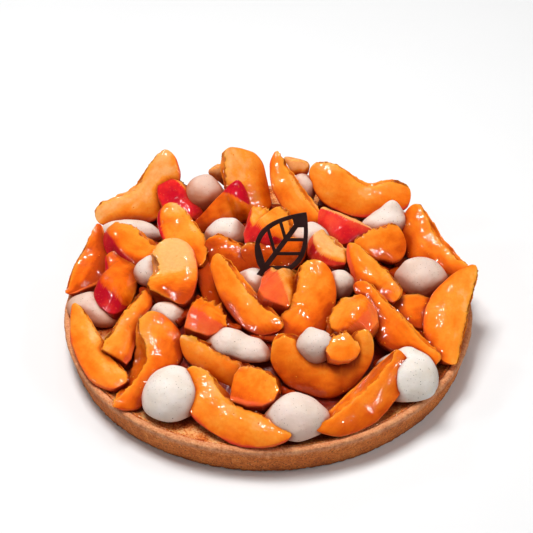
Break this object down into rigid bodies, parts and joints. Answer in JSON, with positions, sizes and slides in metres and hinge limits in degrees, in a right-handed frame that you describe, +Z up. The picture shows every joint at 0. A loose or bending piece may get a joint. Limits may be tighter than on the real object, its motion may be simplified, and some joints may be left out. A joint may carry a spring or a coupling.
{
  "type": "apricot tart",
  "caption": "Round baked tart with a straight pastry wall, a glazed filling, heaped apricot slices, dollops of cream and an openwork chocolate leaf.",
  "frame": {"origin": "middle of the pastry shell's flat underside", "axes": "+Z up, -Y towards the front of the tart, which the picture shows, +X to the right as seen from the front"},
  "size_m": [0.2078, 0.206, 0.0646],
  "materials": {
    "pastry": "baked, matt, finely crumbed, with a darker glazed rim",
    "filling": "glossy amber jelly",
    "apricot": "wet, glazed fruit flesh, with skin from orange to crimson",
    "cream": "soft satin cream with fine dark specks",
    "chocolate": "satin dark chocolate"
  },
  "bodies": {
    "root": {"pastry_shell": "pastry", "apricot_filling": "filling", "chocolate_leaf": "chocolate", "slice_01": "apricot", "slice_02": "apricot", "slice_03": "apricot", "slice_04": "apricot", "slice_05": "apricot", "slice_06": "apricot", "slice_07": "apricot", "slice_08": "apricot", "slice_09": "apricot", "slice_10": "apricot", "slice_11": "apricot", "slice_12": "apricot", "slice_13": "apricot", "slice_14": "apricot", "slice_15": "apricot", "slice_16": "apricot", "slice_17": "apricot", "slice_18": "apricot", "slice_19": "apricot", "slice_20": "apricot", "slice_21": "apricot", "slice_22": "apricot", "slice_23": "apricot", "slice_24": "apricot", "slice_25": "apricot", "slice_26": "apricot", "slice_27": "apricot", "slice_28": "apricot", "slice_29": "apricot", "slice_30": "apricot", "slice_31": "apricot", "slice_32": "apricot", "slice_33": "apricot", "slice_34": "apricot", "slice_35": "apricot", "slice_36": "apricot", "slice_37": "apricot", "slice_38": "apricot", "slice_39": "apricot", "slice_40": "apricot", "cream_01": "cream", "cream_02": "cream", "cream_03": "cream", "cream_04": "cream", "cream_05": "cream", "cream_06": "cream", "cream_07": "cream", "cream_08": "cream", "cream_09": "cream", "cream_10": "cream", "cream_11": "cream", "cream_12": "cream", "cream_13": "cream", "cream_14": "cream", "cream_15": "cream", "cream_16": "cream", "cream_17": "cream"}
  },
  "joints": []
}
